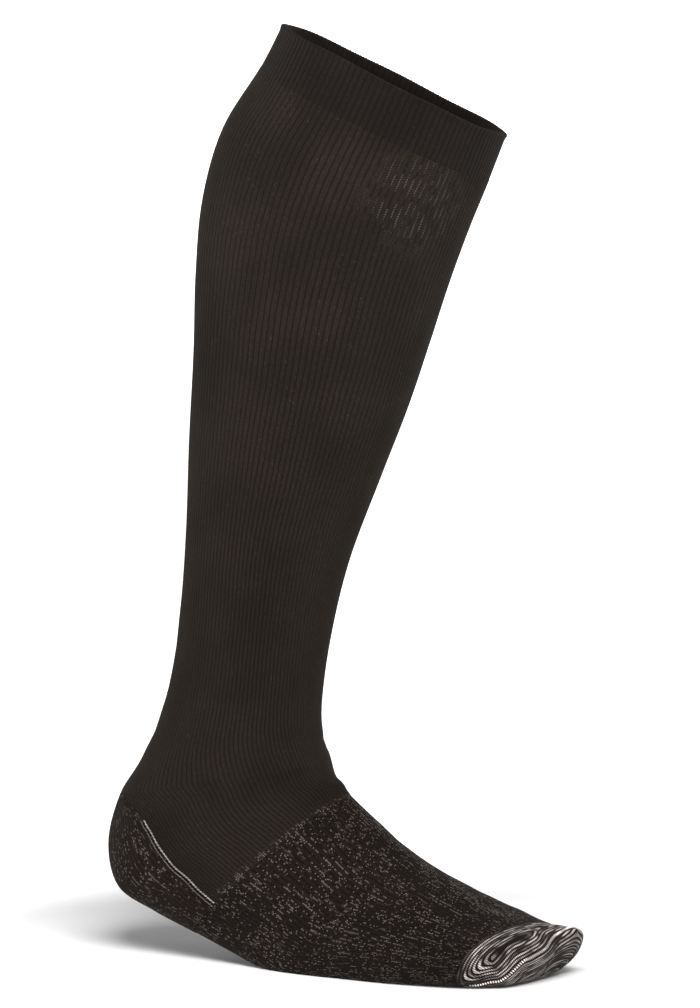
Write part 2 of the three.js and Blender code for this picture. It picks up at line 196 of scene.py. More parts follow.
def skin(s, degrees):
    """Points of the outer surface in millimetres.

    s counts sections, and degrees go from the front over the outer side.
    """
    s, degrees = np.broadcast_arrays(np.asarray(s, float), np.asarray(degrees, float))
    angle = np.radians(degrees)
    cos, sin = np.cos(angle), np.sin(angle)
    box = np.where(cos > 0, along("top_box", s), along("sole_box", s))
    reach = (np.abs(cos) ** box + np.abs(sin) ** box) ** (-1 / box)
    across = sin * reach
    forward = cos * reach + along("widest", s) * across**2
    y = -across * np.where(sin > 0, along("outer", s), along("inner", s))
    front_x, front_z, back_x, back_z = (along(c, s) for c in SECTION_COLUMNS[:4])
    half_x, half_z = front_x - back_x, front_z - back_z
    x = (front_x + back_x + half_x * forward) / 2 + along("skew", s) * y
    z = (front_z + back_z + half_z * forward) / 2 + along("roll", s) * y
    out = np.stack([half_x * cos, -sin * np.hypot(half_x, half_z), half_z * cos], -1)
    out /= np.linalg.norm(out, axis=-1, keepdims=True)
    point = np.stack([x, y, z], -1) + out * fold_height(FOLDS, s, degrees)[..., None]
    point[..., 1] += along("side", s)
    point[..., 2] = on_floor(point[..., 2])
    return point - ORIGIN


def soft_least(first, second, blend_length):
    """The smaller of two lengths, rounded where they are alike."""
    share = np.clip(0.5 + (second - first) / (2 * blend_length), 0, 1)
    return second * (1 - share) + first * share - blend_length * share * (1 - share)


def distance_to(points, line):
    """Distance of points from a line of straight steps."""
    best = np.full(points.shape[:-1], np.inf)
    for start, step in zip(line[:-1], np.diff(line, axis=0)):
        share = np.clip(((points - start) @ step) / (step @ step), 0, 1)
        best = np.minimum(best, np.linalg.norm(points - start - share[..., None] * step, axis=-1))
    return best


def unit(vectors):
    return vectors / np.maximum(np.linalg.norm(vectors, axis=-1, keepdims=True), 1e-9)


def directions(s, degrees):
    """Unit vectors at points of the skin: down the stocking, round it and out of it."""
    step = 0.02
    downward = unit(skin(np.minimum(s + step, LAST), degrees) - skin(np.maximum(s - step, 0), degrees))
    around = unit(skin(s, degrees + 1) - skin(s, degrees - 1))
    return downward, around, unit(np.cross(around, downward))


def cloth(s, degrees, down=0.0, out=0.0, around=0.0):
    """Points in metres, moved down the stocking, out of it and round it by millimetres."""
    s, degrees, down, out, around = np.broadcast_arrays(
        *(np.asarray(v, float) for v in (s, degrees, down, out, around))
    )
    downward, sideways, outward = directions(s, degrees)
    lift = out + fold_height(CREASES, s, degrees)
    moved = downward * down[..., None] + outward * lift[..., None] + sideways * around[..., None]
    return (skin(s, degrees) + moved) * MM


SIDE_S = np.linspace(0, LAST, 400)
SIDE_STEPS = np.linalg.norm(np.diff(skin(SIDE_S, 90.0), axis=0), axis=1)
SIDE_LENGTH = np.concatenate([[0], np.cumsum(SIDE_STEPS)])


def length_down(s):
    """Length of the side line from the cuff edge, in millimetres; the courses are counted on it."""
    return np.interp(s, SIDE_S, SIDE_LENGTH)


def pocket_degrees(s):
    """Half width of the heel pocket at a section, in degrees."""
    place = (np.asarray(s, float) - HEEL_TOP) / (FOOT_START - HEEL_TOP) * (len(POCKET_DEGREES) - 1)
    return smooth_through(POCKET_DEGREES, place)


def wale_degrees(s, share):
    """Degrees round of a rib; share is 0 in front and 1 at the top corner of the heel pocket."""
    top, foot = 180.0 - POCKET_DEGREES[0], 180.0 - POCKET_DEGREES[-1]
    t = np.clip((s - SWEEP_START) / (SWEEP_END - SWEEP_START), 0, 1)
    reach = top + (foot - top) * t * t * (3 - 2 * t)
    edge = np.where(s <= HEEL_TOP, top, 180.0 - pocket_degrees(np.maximum(s, HEEL_TOP)))
    inner = reach * share + (edge - reach) * np.sign(share) * np.abs(share) ** 4
    return np.where(np.abs(share) <= 1, inner, top * share)


class Wall:
    """Points, faces and knit coordinates of one piece of cloth."""

    def __init__(self):
        self.points, self.faces, self.knit, self.count = [], [], [], 0

    def add(self, points, closed=False):
        """Keeps a grid of points and gives their numbers; a closed grid ends on its first column."""
        rows, columns = points.shape[:2]
        index = self.count + np.arange(rows * columns).reshape(rows, columns)
        self.points.append(points.reshape(-1, 3))
        self.count += rows * columns
        return np.concatenate([index, index[:, :1]], axis=1) if closed else index

    def join(self, index, knit, keep=None):
        """Faces between the points of a grid, which point out where columns go round and rows go down."""

        def corners(grid):
            return np.stack([grid[:-1, :-1], grid[:-1, 1:], grid[1:, 1:], grid[1:, :-1]], 2)

        use = np.ones((index.shape[0] - 1, index.shape[1] - 1), bool) if keep is None else keep
        self.faces.append(corners(index)[use])
        self.knit.append(corners(knit)[use])

    def rim(self, first, second, knit, axis=0, keep=None):
        """Faces between two lines of points with the same knit coordinates."""
        self.join(np.stack([first, second], axis), np.stack([knit, knit], axis), keep)

    def mesh(self, name):
        points, faces = np.concatenate(self.points), np.concatenate(self.faces)
        used, faces = np.unique(faces, return_inverse=True)
        faces = faces.reshape(-1, 4)
        mesh = bpy.data.meshes.new(name)
        mesh.vertices.add(len(used))
        mesh.vertices.foreach_set("co", points[used].astype(np.float32).ravel())
        mesh.loops.add(faces.size)
        mesh.loops.foreach_set("vertex_index", faces.ravel().astype(np.int32))
        mesh.polygons.add(len(faces))
        mesh.polygons.foreach_set("loop_start", np.arange(0, faces.size, 4, dtype=np.int32))
        mesh.update(calc_edges=True)
        mesh.uv_layers.new(name=KNIT_MAP)
        knit = np.concatenate(self.knit).astype(np.float32)
        mesh.uv_layers[KNIT_MAP].data.foreach_set("uv", knit.ravel())
        mesh.polygons.foreach_set("use_smooth", np.ones(len(faces), bool))
        mesh.validate()
        mesh.set_sharp_from_angle(angle=RIM_ANGLE)
        mesh.update()
        return mesh


def show(name, mesh, material, slot, *nodes):
    """Links a piece that rides on the stocking's body and stands for its nodes."""
    piece = bpy.data.objects.new(name, mesh)
    bpy.context.scene.collection.objects.link(piece)
    mesh.materials.append(material)
    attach(piece, BODY)
    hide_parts(*nodes)
    return piece


def fill(tree, node, values):
    """Sets inputs of a node, each to a value or to a link from another node."""
    for key, value in values.items():
        if isinstance(value, bpy.types.NodeSocket):
            tree.links.new(value, node.inputs[key])
        else:
            node.inputs[key].default_value = value
    return node


def add(tree, kind, values=None, **settings):
    node = tree.nodes.new(kind)
    for key, value in settings.items():
        setattr(node, key, value)
    return fill(tree, node, values or {})


def calc(tree, operation, *values):
    return add(tree, "ShaderNodeMath", dict(enumerate(values)), operation=operation).outputs[0]


def times(tree, *values):
    """The product of two or more values."""
    product, *others = values
    for value in others:
        product = calc(tree, "MULTIPLY", product, value)
    return product


def hump(tree, value):
    """0 at each whole number and 1 halfway between two, as half a wave."""
    return calc(tree, "SINE", times(tree, calc(tree, "FRACT", value), math.pi))


def off_middle(tree, value):
    """0 halfway between two whole numbers and a half at each."""
    return calc(tree, "ABSOLUTE", calc(tree, "SUBTRACT", calc(tree, "FRACT", value), 0.5))


def ramp(tree, value, low, high, to_low=0.0, to_high=1.0):
    values = {"Value": value, "From Min": low, "From Max": high, "To Min": to_low, "To Max": to_high}
    return add(tree, "ShaderNodeMapRange", values, interpolation_type="SMOOTHSTEP").outputs["Result"]


def blend(tree, factor, first, second):
    values = {"Factor": factor, 6: first, 7: second}
    return add(tree, "ShaderNodeMix", values, data_type="RGBA").outputs[2]


def split(tree, vector):
    return add(tree, "ShaderNodeSeparateXYZ", {0: vector}).outputs


def join(tree, *parts):
    return add(tree, "ShaderNodeCombineXYZ", dict(enumerate(parts))).outputs[0]


def clouds(tree, place, scale, detail=2.0):
    """Soft noise, mostly near a half."""
    return add(tree, "ShaderNodeTexNoise", {"Vector": place, "Scale": scale, "Detail": detail}).outputs[0]


def lot(tree, number):
    """A random value from 0 to 1 for each number."""
    return add(tree, "ShaderNodeTexWhiteNoise", {"W": number}, noise_dimensions="1D").outputs["Value"]


def knitted_loops(tree, given):
    """Rows of knitted loops: two legs to a stitch, in wales and courses."""
    knit = split(tree, given["Knit"])
    wale = times(tree, knit["X"], given["Wales"])
    side = off_middle(tree, wale)
    course = calc(tree, "DIVIDE", knit["Y"], given["Course Length"])
    bow = hump(tree, calc(tree, "MULTIPLY_ADD", side, 1.1, course))
    crown = hump(tree, wale)
    return {"Height": times(tree, bow, ramp(tree, side, 0.0, 0.14, 0.35, 1.0), crown), "Wale": crown}


def marl_flecks(tree, given):
    """Light strands of a marled yarn, as dashes along the wales that come in loose clusters."""
    knit = split(tree, given["Knit"])
    wale = times(tree, knit["X"], given["Wales"])
    column = calc(tree, "FLOOR", wale)
    dash = calc(tree, "DIVIDE", knit["Y"], given["Dash Length"])
    place = calc(tree, "ADD", dash, times(tree, lot(tree, column), 9.0))
    cell = join(tree, column, calc(tree, "FLOOR", place), given["Dash Length"])
    chance = add(tree, "ShaderNodeTexWhiteNoise", {"Vector": cell}, noise_dimensions="3D").outputs["Value"]
    across = calc(tree, "DIVIDE", knit["X"], times(tree, given["Cluster Length"], 0.35))
    cluster = clouds(tree, join(tree, across, calc(tree, "DIVIDE", knit["Y"], given["Cluster Length"])), 1.0)
    spread = ramp(tree, cluster, 0.35, 0.65, 0.35, 1.65)
    # some wales carry more of the light strand than others
    by_wale = ramp(tree, lot(tree, calc(tree, "ADD", column, 0.37)), 0.0, 1.0, 0.3, 1.7)
    edge = calc(tree, "SUBTRACT", 1.0, times(tree, given["Share"], spread, by_wale))
    limits = {"Value": chance, "From Min": edge, "From Max": calc(tree, "ADD", edge, 0.06)}
    lit = add(tree, "ShaderNodeMapRange", limits).outputs["Result"]
    width = ramp(tree, hump(tree, wale), given["Narrow"], 1.0)
    return {"Mask": times(tree, lit, times(tree, width, ramp(tree, hump(tree, place), 0.1, 0.6)))}


def heathered_dye(tree, given):
    """Slow and fine unevenness of dyed yarn, from 0 to 1."""
    patch = clouds(tree, given["Place"], given["Patch Scale"], 3.0)
    long_way = add(tree, "ShaderNodeMapping", {"Vector": given["Knit"], "Scale": (2.0, 0.45, 1.0)})
    yarn = clouds(tree, long_way.outputs[0], 1.6, 3.0)
    return {"Patch": ramp(tree, patch, 0.3, 0.7), "Yarn": ramp(tree, yarn, 0.3, 0.7)}


# The shared node groups: how each is built, and its inputs. Those without a default are vectors.
GROUPS = {
    "Knitted Loops": (knitted_loops, {"Knit": None, "Wales": 2.0, "Course Length": 1.0}),
    "Marl Flecks": (
        marl_flecks,
        {"Knit": None, "Wales": 2.0, "Dash Length": 2.0, "Share": 0.1, "Cluster Length": 12.0, "Narrow": 0.4},
    ),
    "Heathered Dye": (heathered_dye, {"Place": None, "Knit": None, "Patch Scale": 28.0}),
}


def new_group(name):
    build, inputs = GROUPS[name]
    group = bpy.data.node_groups.new(name, "ShaderNodeTree")
    for label, default in inputs.items():
        kind = "NodeSocketVector" if default is None else "NodeSocketFloat"
        socket = group.interface.new_socket(label, in_out="INPUT", socket_type=kind)
        if default is not None:
            socket.default_value = default
    made = build(group, group.nodes.new("NodeGroupInput").outputs)
    for label in made:
        group.interface.new_socket(label, in_out="OUTPUT", socket_type="NodeSocketFloat")
    fill(group, group.nodes.new("NodeGroupOutput"), made)
    return group


def use_group(tree, name, values):
    """Outputs of a shared node group, which is built when it is first asked for."""
    group = bpy.data.node_groups.get(name) or new_group(name)
    return add(tree, "ShaderNodeGroup", values, node_tree=group).outputs


def new_material(name, values):
    """A material, its nodes and its shader with these values on its own sockets."""
    material = bpy.data.materials.new(name)
    material.use_nodes = True
    tree = material.node_tree
    return material, tree, fill(tree, tree.nodes["Principled BSDF"], values)


def shade(colour, factor):
    return tuple(min(1.0, c * factor) for c in colour[:3]) + (1.0,)


class Fabric:
    """A fabric material that is built up step by step: dye, flecks and bump."""

    def __init__(self, name, sheen=0.04, roughness=0.9):
        values = {"Roughness": roughness, "Specular IOR Level": 0.06, "Sheen Weight": sheen}
        values |= {"Sheen Roughness": 0.45, "Sheen Tint": (0.75, 0.72, 0.66, 1.0)}
        self.material, self.tree, self.shader = new_material(name, values)
        self.knit = add(self.tree, "ShaderNodeUVMap", uv_map=KNIT_MAP).outputs[0]
        self.place = add(self.tree, "ShaderNodeTexCoord").outputs["Object"]
        self.heather = use_group(self.tree, "Heathered Dye", {"Place": self.place, "Knit": self.knit})

    def dye(self, colour, contrast):
        """The yarn's own colour, darker and lighter in patches and from strand to strand."""
        low, high = shade(colour, 1 - contrast / 2), shade(colour, 1 + contrast / 2)
        patch = blend(self.tree, self.heather["Patch"], low, high)
        values = {"Factor": 1.0, 6: patch, 7: (0.55, 0.55, 0.55, 1.0)}
        dark = add(self.tree, "ShaderNodeMix", values, data_type="RGBA", blend_type="MULTIPLY").outputs[2]
        self.colour = blend(self.tree, self.heather["Yarn"], dark, patch)

    def tint(self, factor, colour):
        self.colour = blend(self.tree, factor, self.colour, colour)

    def loops(self, course, wales=2.0):
        """Stitches of the knit; course is the height of one row in millimetres."""
        values = {"Knit": self.knit, "Wales": wales, "Course Length": course}
        return use_group(self.tree, "Knitted Loops", values)

    def flecks(self, wales, dash, share, cluster, narrow=0.4):
        """Mask of light strands in dashes and clusters of these lengths in millimetres."""
        values = {"Knit": self.knit, "Wales": wales, "Dash Length": dash, "Share": share}
        values |= {"Cluster Length": cluster, "Narrow": narrow}
        return use_group(self.tree, "Marl Flecks", values)["Mask"]

    def bump(self, height, distance, strength=1.0):
        values = {"Height": height, "Distance": distance, "Strength": strength}
        node = add(self.tree, "ShaderNodeBump", values)
        self.tree.links.new(node.outputs[0], self.shader.inputs["Normal"])

    def rough_strands(self):
        """Roughness that goes with the strands."""
        value = ramp(self.tree, self.heather["Yarn"], 0.0, 1.0, *STRAND_ROUGHNESS)
        self.tree.links.new(value, self.shader.inputs["Roughness"])

    def finish(self):
        self.tree.links.new(self.colour, self.shader.inputs["Base Color"])
        return self.material


def rib_material(name, colour, groove_width):
    """Fabric of ribs with painted shade in the grooves between them; keeps the mask of the grooves."""
    fabric = Fabric(name)
    fabric.dye(colour, 0.35)
    tree = fabric.tree
    rib = calc(tree, "ADD", split(tree, fabric.knit)["X"], 0.5)
    fabric.groove_shade = ramp(tree, off_middle(tree, rib), 0.5 - groove_width, 0.5)
    # painted shade: the grooves between the ribs are darkened with the groove colour, as if the ribs shaded
    # them; the same groove mask also places the calf's light dots
    fabric.tint(times(tree, fabric.groove_shade, 0.85), paint(colours().groove_shade))
    return fabric


def colour_property(name, description, default):
    return FloatVectorProperty(
        name=name, description=description, subtype="COLOR", size=3, min=0.0, max=1.0, default=default
    )


def length_property(name, description, default):
    limits = {"min": 0.0, "max": 0.01, "precision": 5}
    return FloatProperty(name=name, description=description, default=default, unit="LENGTH", **limits)


class StockingSizes(bpy.types.PropertyGroup):
    ribs: IntProperty(name="Ribs", description="Ribs all round the leg", default=120, min=24, max=240)
    cloth: length_property("Cloth", "Thickness of the single cloth", 0.0015)
    welt_cloth: length_property("Welt cloth", "Thickness of the double cuff band", 0.0022)
    rib_height: length_property("Rib height", "How far a rib stands out of the leg", 0.0005)
    welt_rib_height: length_property("Welt rib height", "How far a fine rib of the cuff stands out", 0.0003)
    wale_height: length_property("Wale height", "How far a soft wale stands out of the foot", 0.00022)
    edge_roll: length_property("Edge roll", "How far the cuff's edge rolls out", 0.0006)
    edge_scallop: length_property("Edge scallop", "Height of the small waves along the cuff's edge", 0.0003)
    stitch_length: length_property("Seam stitch", "Length of one linked stitch of the seams", 0.0017)
    course: length_property("Course", "Height of one course of the plain knit", 0.00095)


class StockingColours(bpy.types.PropertyGroup):
    rib: colour_property("Ribbed knit", "Yarn of the leg", (0.0163, 0.0121, 0.0090))
    welt: colour_property("Cuff band", "Yarn of the cuff band", (0.0124, 0.0090, 0.0076))
    # painted shade: the colour that darkens the grooves between the ribs and the hollows between the foot's
    # wales; it also dims the lower line of each gore
    groove_shade: colour_property("Grooves", "Shade between the ribs", (0.0045, 0.0033, 0.0027))
    marl: colour_property("Marled knit", "Dark strand of the heel and foot", (0.0122, 0.0076, 0.0061))
    dots: colour_property("Dots", "Light dots between the ribs of the calf", (0.105, 0.094, 0.072))
    fleck: colour_property("Flecks", "Light strand of the heel and foot", (0.26, 0.212, 0.18))
    toe_dark: colour_property("Toe, dark", "Dark part of the space-dyed yarn", (0.0100, 0.0066, 0.0060))
    toe_light: colour_property("Toe, light", "Light part of the space-dyed yarn", (0.76, 0.675, 0.64))
    seam: colour_property("Seam thread", "Thread of the linked seams", (0.30, 0.27, 0.25))
    floor: colour_property("Floor", "Studio floor and backdrop", (0.92, 0.92, 0.92))


def sizes():
    return bpy.context.scene.stocking_sizes


def colours():
    return bpy.context.scene.stocking_colours


def paint(value):
    return tuple(value) + (1.0,)


def rib_profile(columns, ribs, height, valley):
    """Height over the skin at each column, in millimetres: round ribs with narrow grooves between them."""
    phase = np.arange(columns) * ribs / columns
    wave = 0.5 + 0.5 * np.cos(2 * math.pi * phase)
    return height * (1 - (1 - wave) ** valley)


def knit_at(ribs, s, down=0.0):
    """Knit coordinates: ribs or wales round, and millimetres down."""
    return np.stack(np.broadcast_arrays(ribs, length_down(s) + down), -1)


def ring_degrees(columns):
    return np.arange(-columns // 2, columns // 2 + 1) * 360.0 / columns


class StockingOperator:
    """What the stocking's operators share."""

    bl_options = {"REGISTER", "UNDO"}


class STOCKING_OT_welt(StockingOperator, bpy.types.Operator):
    """Make the double cuff band with its rolled, finely scalloped edge"""

    bl_idname = "stocking.welt"
    bl_label = "Cuff Band"

    def execute(self, context):
        size = sizes()
        ribs = size.ribs
        columns = CUFF_POINTS * ribs
        degrees = ring_degrees(columns)[:-1]
        thick, roll = size.welt_cloth / MM, size.edge_roll / MM
        inside = [(s, 0.0, -thick, 0.0) for s in np.linspace(WELT_END, 0.2, 10)]
        turn = [
            (0.0, 1.1, -thick + 0.1, 0.0),
            (0.0, 0.45, -thick + 0.35, 0.2),
            (0.0, 0.08, -0.72 * thick, 0.5),
            (0.0, -0.05, -0.45 * thick, 0.8),
            (0.0, 0.05, -0.12 * thick, 1.0),
            (0.0, 0.4, 0.55 * roll, 1.0),
            (0.0, 1.0, roll, 1.0),
            (0.0, 1.8, 0.75 * roll, 1.0),
            (0.0, 2.6, 0.25 * roll, 1.0),
        ]
        outside = [(s, 0.0, 0.05, 1.0) for s in np.linspace(0.16, WELT_END, 26)]
        s, down, out, share = (np.array(v)[:, None] for v in zip(*(inside + turn + outside)))
        relief = rib_profile(columns, ribs, size.welt_rib_height / MM, 2.0)[None, :]
        wave = np.cos(np.radians(degrees) * 2 * ribs)[None, :]
        at_edge = np.exp(-((down - 0.05) ** 2) / 0.8) * (s == 0)
        scallop = -size.edge_scallop / MM * 0.5 * wave * at_edge
        slack = 0.35 * np.sin(np.radians(3 * degrees + 40)) + 0.2 * np.sin(np.radians(7 * degrees))
        down_by = down + scallop + slack[None, :] * np.exp(-((s / 0.12) ** 2))
        points = cloth(s, degrees[None, :], down_by, out + share * relief)
        wall = Wall()
        index = wall.add(points, closed=True)
        knit = knit_at(ring_degrees(columns) * ribs / 360.0, s, down)
        index, knit = np.concatenate([index, index[:1]]), np.concatenate([knit, knit[:1]])
        wall.join(index, knit)
        piece = show("Cuff_Band", wall.mesh("cuff_band"), welt_material(), "welt_knit", "welt")
        return {"FINISHED"}


def welt_material():
    fabric = rib_material("Cuff Band Knit", paint(colours().welt), 0.22)
    fabric.bump(fabric.loops(0.9)["Height"], 0.0002, 0.7)
    fabric.rough_strands()
    return fabric.finish()


class STOCKING_OT_leg(StockingOperator, bpy.types.Operator):
    """Make the ribbed leg, from the cuff band down over the ankle to the start of the foot"""

    bl_idname = "stocking.leg"
    bl_label = "Ribbed Leg"

    def execute(self, context):
        size = sizes()
        columns = LEG_POINTS * size.ribs
        half = columns // 2
        number = np.arange(-half, half + 1)
        edge = round(half * (180 - POCKET_DEGREES[0]) / 180)
        tube = np.linspace(WELT_END, HEEL_TOP, 62)
        turn = np.linspace(HEEL_TOP, FOOT_START, 31)
        outer_s = np.concatenate([tube, turn[1:]])
        inner_s = np.concatenate([turn[::-1], np.linspace(HEEL_TOP, WELT_END, 12)[1:]])

        def spots(s):
            return wale_degrees(s[:, None], number[None, :] / edge)

        relief = rib_profile(columns, size.ribs, size.rib_height / MM, 2.2)
        relief = np.concatenate([relief, relief[:1]])
        wander = leg_wander(outer_s, spots(outer_s))
        plain = np.clip((outer_s - FOOT_START) / 0.5 + 1, 0, 1)[:, None]
        raised = relief[None, :] * (1 - 0.8 * plain**2)
        outside = cloth(outer_s[:, None], spots(outer_s) + wander, 0.0, raised)
        inside = cloth(inner_s[:, None], spots(inner_s), 0.0, -size.cloth / MM)
        wall = Wall()
        out_index = wall.add(outside[:, :-1], closed=True)
        in_index = wall.add(inside[:, :-1], closed=True)

        ribs = number / LEG_POINTS
        front = (np.abs(number[:-1] + 0.5) < edge)[None, :]
        for index, s in ((out_index, outer_s), (in_index, inner_s)):
            lowest = np.maximum(s[:-1], s[1:])[:, None]
            wall.join(index, knit_at(ribs, s[:, None]), keep=front | (lowest <= HEEL_TOP + 1e-6))
        # rims: the top, the front at the foot, the back over the heel pocket and the two gore edges
        out_at, in_at = len(tube) - 1, len(turn) - 1
        for first, second, at, keep in (
            (in_index[-1], out_index[0], WELT_END, None),
            (out_index[-1], in_index[0], FOOT_START, front),
            (out_index[out_at], in_index[in_at], HEEL_TOP, ~front),
        ):
            wall.rim(first, second, knit_at(ribs, at), keep=keep)
        for column, turned in ((half - edge, 1), (half + edge, -1)):
            lines = (in_index[: in_at + 1, column][::-1], out_index[out_at:, column])[::turned]
            wall.rim(*lines, knit_at(ribs[column], turn), axis=1)
        piece = show("Ribbed_Leg", wall.mesh("ribbed_leg"), leg_material(), "rib_knit", "leg")
        return {"FINISHED"}


def leg_wander(s, degrees):
    """Ribs that aren't quite straight, in degrees."""
    down = s[:, None]
    return (
        0.16 * np.sin(1.9 * down + 0.11 * degrees)
        + 0.12 * np.sin(4.3 * down - 0.07 * degrees + 1.3)
        + 0.08 * np.sin(9.1 * down + 0.19 * degrees + 0.4)
    ) * np.clip((HEEL_TOP - down) / 2, 0, 1)


# Middle of the dotted patch in ribs from the front and millimetres below the cuff's edge, its half sizes,
# and the millimetres from dot to dot.
DOTS_AT, DOTS_SIZE = (9.3, 48.0), (11.0, 34.0)
DOT_SPACING = 1.35


def dotted_grooves(fabric):
    """Light dots between the ribs on an uneven patch of the calf's front."""
    tree = fabric.tree
    knit = split(tree, fabric.knit)
    away = []
    for axis, middle, half in zip("XY", DOTS_AT, DOTS_SIZE):
        step = calc(tree, "DIVIDE", calc(tree, "SUBTRACT", knit[axis], middle), half)
        away.append(times(tree, step, step))
    patch = ramp(tree, calc(tree, "ADD", *away), 0.0, 1.0, 1.0, 0.0)
    uneven = clouds(tree, join(tree, times(tree, knit["X"], 0.42), times(tree, knit["Y"], 0.11), 5.0), 1.0)
    course = hump(tree, calc(tree, "DIVIDE", knit["Y"], DOT_SPACING))
    dots = times(tree, ramp(tree, course, 0.45, 0.9), ramp(tree, fabric.groove_shade, 0.3, 0.9))
    return times(tree, dots, times(tree, patch, ramp(tree, uneven, 0.40, 0.62)))


def leg_material():
    shades = colours()
    fabric = rib_material("Ribbed Knit", paint(shades.rib), 0.2)
    tree = fabric.tree
    fabric.tint(times(tree, fabric.flecks(2.0, 1.3, 0.035, 30.0), 0.05), paint(shades.fleck))
    # the first light strands of the foot come in before the ribs end
    down = split(tree, fabric.knit)["Y"]
    end = float(length_down(FOOT_START))
    near = ramp(tree, down, end - 6.0, end - 1.0, 0.0, 0.4)
    fabric.tint(times(tree, near, fabric.flecks(2.0, 1.4, 0.30, 8.0)), paint(shades.fleck))
    fabric.tint(times(tree, dotted_grooves(fabric), 0.9), paint(shades.dots))
    fabric.bump(fabric.loops(sizes().course / MM)["Height"], 0.0002, 0.7)
    fabric.rough_strands()
    return fabric.finish()


class STOCKING_OT_heel(StockingOperator, bpy.types.Operator):
    """Make the marled heel pocket that is set into the back of the stocking"""

    bl_idname = "stocking.heel"
    bl_label = "Heel Pocket"

    def execute(self, context):
        size = sizes()
        columns = HEEL_COLUMNS
        side = np.linspace(-1, 1, columns + 1)
        s = np.linspace(HEEL_TOP, FOOT_START, 101)
        degrees = 180 + side[None, :] * pocket_degrees(s)[:, None]
        # the loops lie a little under the leg where the two are linked
        tuck = 0.25 * (1 - np.exp(-((1 - np.abs(side)) / 0.03)))[None, :]
        relief = rib_profile(columns + 1, columns / 4, size.wale_height / MM, 1.5)[None, :]
        wall = Wall()
        out_index = wall.add(cloth(s[:, None], degrees, 0.0, relief + tuck))
        in_index = wall.add(cloth(s[:, None], degrees, 0.0, -size.cloth / MM))
        knit = knit_at(side * columns / 8.0, s[:, None])
        wall.join(out_index, knit)
        wall.join(in_index[::-1], knit[::-1])
        wall.rim(in_index[0], out_index[0], knit[0])
        wall.rim(out_index[-1], in_index[-1], knit[-1])
        wall.rim(in_index[:, 0], out_index[:, 0], knit[:, 0], axis=1)
        wall.rim(out_index[:, -1], in_index[:, -1], knit[:, -1], axis=1)
        material = marl_material("Heel Marl", 1.25, HEEL_TOP)
        piece = show("Heel_Pocket", wall.mesh("heel_pocket"), material, "heel_marl", "heel_pocket")
        return {"FINISHED"}


# Strength of each layer of light strands, wales to a rib, dash length in millimetres, share of the cells,
# cluster length in millimetres, and from which part of its middle a wale shows the strand.
FLECK_LAYERS = (
    (0.34, 1.0, 1.1, 0.28, 12.0, 0.86),
    (0.60, 4.0, 0.9, 0.060, 12.0, 0.20),
    (0.10, 2.0, 4.0, 0.10, 16.0, 0.20),
)


def marl_material(name, brightness, edge=None):
    """Dark yarn with light strands and painted shade between its ribs and loops; there are more strands just
    below the edge section, if there is one.
    """
    shades = colours()
    fabric = Fabric(name)
    fabric.dye(shade(shades.marl, brightness), 0.4)
    tree = fabric.tree
    loops = fabric.loops(sizes().course / MM)
    knit = split(tree, fabric.knit)
    # painted shade: darker in the hollows between the ribs and between the loops of each wale
    rib = calc(tree, "COSINE", times(tree, knit["X"], 2 * math.pi))
    painted_groove_shade = shade(shades.groove_shade, 0.7)
    fabric.tint(ramp(tree, rib, -1.0, 0.4, 0.75, 0.0), painted_groove_shade)
    fabric.tint(ramp(tree, loops["Wale"], 0.0, 0.6, 0.4, 0.0), painted_groove_shade)
    for strength, *layer in FLECK_LAYERS:
        fabric.tint(times(tree, fabric.flecks(*layer), strength), paint(shades.fleck))
    if edge is not None:
        start = float(length_down(edge))
        near = ramp(tree, knit["Y"], start + 0.5, start + 2.2, 0.7, 0.0)
        fabric.tint(times(tree, fabric.flecks(1.0, 1.5, 0.5, 9.0), near), paint(shades.fleck))
    fabric.bump(loops["Height"], 0.00025, 0.8)
    fabric.rough_strands()
    return fabric.finish()


class STOCKING_OT_foot(StockingOperator, bpy.types.Operator):
    """Make the marled foot, from the heel pocket to the toe cap"""

    bl_idname = "stocking.foot"
    bl_label = "Marled Foot"

    def execute(self, context):
        size = sizes()
        columns = FOOT_POINTS * size.ribs
        degrees = ring_degrees(columns)
        s = np.linspace(FOOT_START, TOE_START, 130)
        inner_s = np.linspace(TOE_START, FOOT_START, 22)
        relief = rib_profile(columns, size.ribs, size.wale_height / MM, 1.5)
        wall = Wall()
        ring = degrees[None, :-1]
        out_index = wall.add(cloth(s[:, None], ring, 0.0, relief[None, :]), closed=True)
        in_index = wall.add(cloth(inner_s[:, None], ring, 0.0, -size.cloth / MM), closed=True)
        index = np.concatenate([in_index, out_index, in_index[:1]])
        all_s = np.concatenate([inner_s, s, inner_s[:1]])
        wall.join(index, knit_at(degrees * size.ribs / 360.0, all_s[:, None]))
        material = marl_material("Foot Marl", 0.95)
        piece = show("Marled_Foot", wall.mesh("marled_foot"), material, "foot_marl", "foot")
        return {"FINISHED"}


# Where the linked line crosses the toe cap, from the outer side to the inner one: section, degrees round, and
# how far it is from the upper skin (0) to the middle of the closed end (1).
TOE_SEAM_PATH = (
    (21.75, 119, 0), (22.5, 117, 0), (23.1, 113.5, 0), (23.6, 110, 0), (23.95, 104, 0), (24.35, 97, 0),
    (24.75, 88, 0), (25, 76, 0.35), (25, 62, 0.85), (25, 50, 1), (25, 38, 1), (25, 26, 1), (25, 15, 0.75),
    (25, 6, 0.2), (24.55, -4, 0), (24.08, -13, 0), (23.6, -21, 0), (23.2, -28, 0), (22.95, -36, 0),
    (22.85, -48, 0), (22.9, -64, 0), (23.0, -82, 0),
)
# How far the cloth of the closed end swells over the line between its edges, in millimetres.
TOE_SWELL = 0.4
# The way that the closed end of the toe looks.
TOE_AHEAD = np.array((0.905, -0.23, 0.36))


